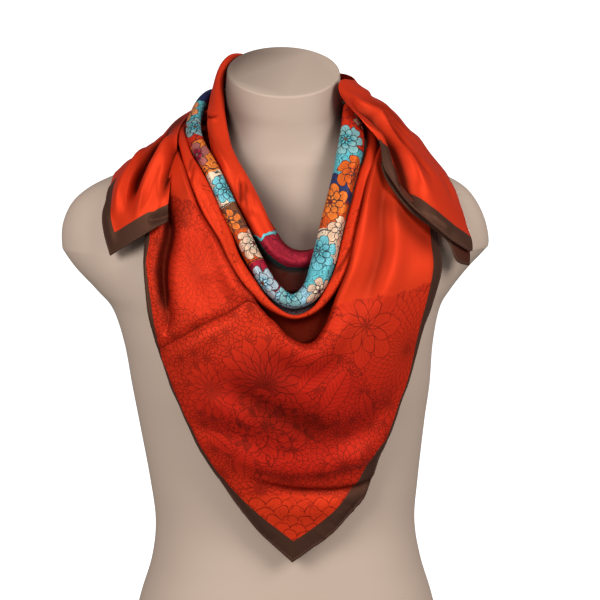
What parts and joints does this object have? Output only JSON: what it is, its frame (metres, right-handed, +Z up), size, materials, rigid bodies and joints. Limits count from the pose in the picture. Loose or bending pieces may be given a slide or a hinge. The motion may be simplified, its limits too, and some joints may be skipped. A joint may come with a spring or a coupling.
{
  "type": "silk square scarf on torso form",
  "caption": "Silk square folded corner to corner and worn as a cowl on a limbless torso form: pointed bib, rolled neck folds and free ends over both shoulders.",
  "frame": {"origin": "on the flat foot of the torso form, in the middle under the neck, on the surface that the form stands on", "axes": "+Z up, the front of the form faces -Y, +X towards the form's left shoulder"},
  "size_m": [0.4177, 0.2544, 0.6586],
  "materials": {
    "silk": "satin",
    "silk_print": "satin",
    "silk_border": "satin",
    "form": "matte"
  },
  "bodies": {
    "root": {"torso_form": "form", "bib": "silk", "outer_roll": "silk", "print_roll": "silk_print", "collar_roll": "silk", "right_shoulder_end": "silk", "left_shoulder_end": "silk"}
  },
  "joints": []
}
